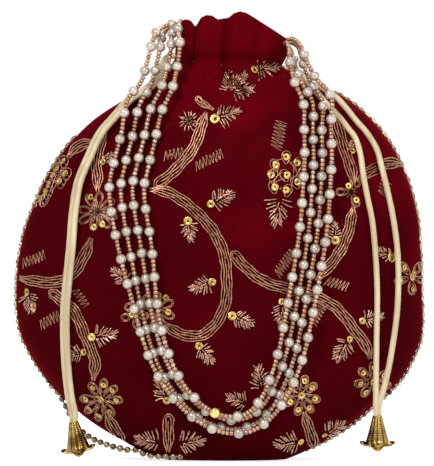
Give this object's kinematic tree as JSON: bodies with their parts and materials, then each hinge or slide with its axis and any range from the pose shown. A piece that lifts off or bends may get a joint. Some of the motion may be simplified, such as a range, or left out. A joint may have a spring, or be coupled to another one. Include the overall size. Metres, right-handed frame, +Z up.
{
  "type": "potli bag",
  "caption": "Round velvet potli pouch standing on its bottom, with a gathered neck and frill, wire embroidery, beaded seam, drawstrings with bells and a pearl strand handle.",
  "frame": {"origin": "on the floor under the middle of the pouch, at the height of its pressed bottom", "axes": "+X to the right as seen from the front, +Y from the front to the back, +Z up"},
  "size_m": [0.2264, 0.1077, 0.2449],
  "materials": {
    "velvet": "dark maroon pile",
    "satin_cord": "cream satin",
    "gold_metal": "polished",
    "gold_wire": "coiled copper-gold wire",
    "pearl": "pearl lustre",
    "edge_bead": "pale gold lustre"
  },
  "bodies": {
    "root": {"front_panel": "velvet", "back_panel": "velvet", "neck_casing": "velvet", "left_drawstring": "satin_cord", "right_drawstring": "satin_cord", "left_bell": "gold_metal", "right_bell": "gold_metal", "handle_strand_1": "pearl", "handle_strand_2": "pearl", "handle_strand_3": "pearl", "gold_bead": "gold_metal", "handle_strand_4": "pearl", "bead_edging": "edge_bead", "vine_1": "gold_wire", "vine_2": "gold_wire", "vine_3": "gold_wire", "vine_4": "gold_wire", "vine_5": "gold_wire", "vine_6": "gold_wire", "vine_7": "gold_wire", "vine_8": "gold_wire", "vine_9": "gold_wire", "vine_10": "gold_wire", "vine_11": "gold_wire", "vine_12": "gold_wire", "vine_13": "gold_wire", "flower_1": "gold_wire", "flower_2": "gold_wire", "flower_3": "gold_wire", "flower_4": "gold_wire", "flower_5": "gold_wire", "flower_6": "gold_wire", "flower_7": "gold_wire", "flower_8": "gold_wire", "spray_1": "gold_wire", "spray_2": "gold_wire", "spray_3": "gold_wire", "spray_4": "gold_wire", "spray_5": "gold_wire", "spray_6": "gold_wire", "spray_7": "gold_wire", "spray_8": "gold_wire", "spray_9": "gold_wire", "spray_10": "gold_wire", "spray_11": "gold_wire", "spray_12": "gold_wire", "spray_13": "gold_wire", "spray_14": "gold_wire", "spray_15": "gold_wire", "spray_16": "gold_wire", "spray_17": "gold_wire", "spray_18": "gold_wire", "spray_19": "gold_wire", "spray_20": "gold_wire", "spray_21": "gold_wire", "spray_22": "gold_wire", "spray_23": "gold_wire"}
  },
  "joints": []
}
